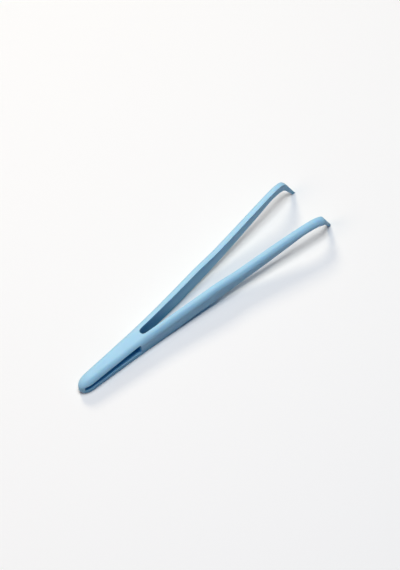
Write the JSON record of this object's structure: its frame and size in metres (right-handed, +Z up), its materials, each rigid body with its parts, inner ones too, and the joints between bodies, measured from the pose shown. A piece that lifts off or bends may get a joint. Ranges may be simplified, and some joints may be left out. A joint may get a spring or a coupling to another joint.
{
  "type": "curved plastic tweezers",
  "caption": "Moulded plastic tweezers lying on their side, with a solid pocketed heel, springy arms that bow upwards and hooked tips that touch the table.",
  "frame": {"origin": "middle of the footprint, on the table that the heel and the tips touch", "axes": "+X from the heel to the tips, +Y across the arms, +Z up from the table"},
  "size_m": [0.1206, 0.0256, 0.0118],
  "materials": {
    "body": "fine matte moulded surface"
  },
  "bodies": {
    "root": {"tweezers": "body"}
  },
  "joints": []
}
